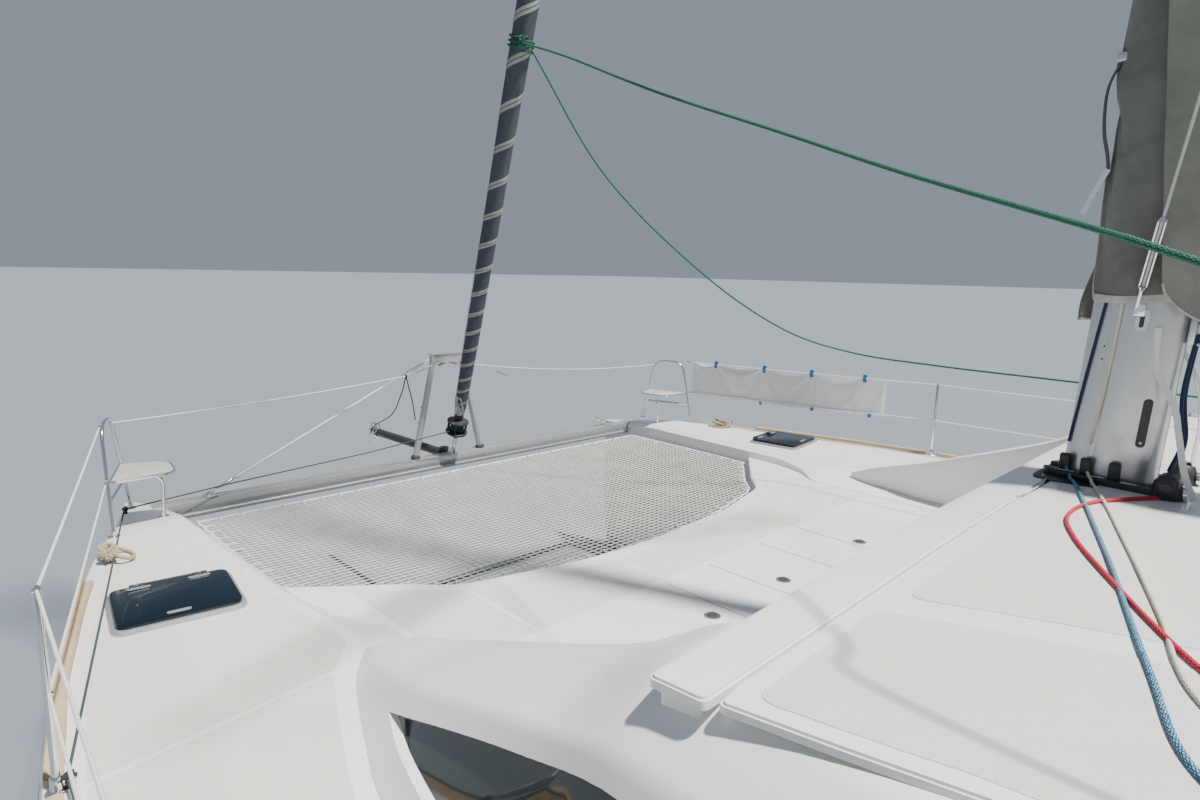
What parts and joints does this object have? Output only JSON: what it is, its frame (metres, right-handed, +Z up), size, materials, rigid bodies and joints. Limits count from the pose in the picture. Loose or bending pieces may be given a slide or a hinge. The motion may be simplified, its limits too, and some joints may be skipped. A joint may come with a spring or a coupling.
{
  "type": "sailing catamaran",
  "caption": "Twin-hulled cruising sailing boat with cabin, net foredeck, furled headsail, boom with bagged mainsail, turning rudders and propellers.",
  "frame": {"origin": "on the centreline at the waterline, amidships", "axes": "+X forward to the bows, +Y to port, +Z up along the mast"},
  "size_m": [14.5008, 7.4, 23.62],
  "materials": {
    "gelcoat": "glossy moulded white",
    "glazing": "dark tinted acrylic",
    "alloy": "anodised satin",
    "steel": "polished stainless steel",
    "net": "knotted white cord",
    "canvas": "grey woven canvas",
    "sailcloth": "dark sun cover rolled on the sail",
    "black_fittings": "black moulded",
    "bronze": "machined bronze",
    "antifouling": "matt bottom paint",
    "cloth": "white laced cloth",
    "cushion": "marine vinyl"
  },
  "bodies": {
    "root": {"hull_port": "gelcoat", "hull_starboard": "gelcoat", "keel_port": "antifouling", "keel_starboard": "antifouling", "saildrive_port": "alloy", "saildrive_starboard": "alloy", "bridgedeck": "gelcoat", "coachroof": "gelcoat", "side_window_port": "glazing", "side_window_starboard": "glazing", "windshield": "glazing", "saloon_bulkhead": "gelcoat", "saloon_settee": "cushion", "saloon_table": "gelcoat", "galley": "gelcoat", "winches": "steel", "aft_window": "glazing", "cockpit_bench": "gelcoat", "cockpit_table": "gelcoat", "helm_console": "gelcoat", "helm_seat": "cushion", "hardtop": "gelcoat", "davits": "steel", "crossbeam": "alloy", "striker_frame": "alloy", "bowsprit": "black_fittings", "trampoline": "net", "bow_seat_port": "steel", "bow_seat_starboard": "steel", "lifeline_port": "steel", "lifeline_starboard": "steel", "hatch_frame_port": "alloy", "hatch_frame_starboard": "alloy", "mast_step": "black_fittings", "mast": "alloy", "diamond_port": "steel", "diamond_starboard": "steel", "shroud_port": "steel", "shroud_starboard": "steel", "forestay_foot": "steel", "forestay_head": "steel", "gooseneck": "alloy", "side_screen": "cloth"},
    "boom_and_sail": {"boom": "alloy", "sail_bag": "canvas"},
    "headsail": {"furler_drum": "black_fittings", "furled_headsail": "sailcloth"},
    "rudder_blade_port": {"rudder_port": "antifouling"},
    "rudder_blade_starboard": {"rudder_starboard": "antifouling"},
    "wheel": {"steering_wheel": "steel"},
    "screw_port": {"propeller_port": "bronze"},
    "screw_starboard": {"propeller_starboard": "bronze"},
    "door": {"saloon_door": "glazing"},
    "lid_port": {"hatch_lid_port": "glazing"},
    "lid_starboard": {"hatch_lid_starboard": "glazing"}
  },
  "joints": [
    {"name": "boom_swing", "type": "hinge", "parent": "root", "child": "boom_and_sail", "pos_m": [0.5697, 0, 3.33], "axis": [-0.0436, 0, 0.999], "range_deg": [-62, 62]},
    {"name": "headsail_furl", "type": "hinge", "parent": "root", "child": "headsail", "pos_m": [6.142, 0, 1.678], "axis": [-0.2895, 0, 0.9572], "continuous": true},
    {"name": "rudder_port_turn", "type": "hinge", "parent": "root", "child": "rudder_blade_port", "pos_m": [-5.35, 2.748, -0.3], "axis": [0, 0, 1], "range_deg": [-35, 35]},
    {"name": "rudder_starboard_turn", "type": "hinge", "parent": "root", "child": "rudder_blade_starboard", "pos_m": [-5.35, -2.748, -0.3], "axis": [0, 0, 1], "range_deg": [-35, 35]},
    {"name": "wheel_turn", "type": "hinge", "parent": "root", "child": "wheel", "pos_m": [-3.06, 1.575, 1.84], "axis": [1, 0, 0], "range_deg": [-360, 360]},
    {"name": "propeller_port_spin", "type": "hinge", "parent": "root", "child": "screw_port", "pos_m": [-4.5, 2.735, -0.86], "axis": [1, 0, 0], "continuous": true},
    {"name": "propeller_starboard_spin", "type": "hinge", "parent": "root", "child": "screw_starboard", "pos_m": [-4.5, -2.735, -0.86], "axis": [1, 0, 0], "continuous": true},
    {"name": "door_slide", "type": "slide", "parent": "root", "child": "door", "axis": [0, 1, 0], "range_m": [0, 0.88]},
    {"name": "hatch_port_open", "type": "hinge", "parent": "root", "child": "lid_port", "pos_m": [4.4951, 2.86353, 1.7884], "axis": [0.1201, 0.9928, 0], "range_deg": [0, 110]},
    {"name": "hatch_starboard_open", "type": "hinge", "parent": "root", "child": "lid_starboard", "pos_m": [4.4951, -2.86353, 1.7884], "axis": [-0.1201, 0.9928, 0], "range_deg": [0, 110]}
  ],
  "couplings": [
    {"joint": "rudder_starboard_turn", "follows": "rudder_port_turn", "ratio": 1},
    {"joint": "wheel_turn", "follows": "rudder_port_turn", "ratio": 10}
  ]
}
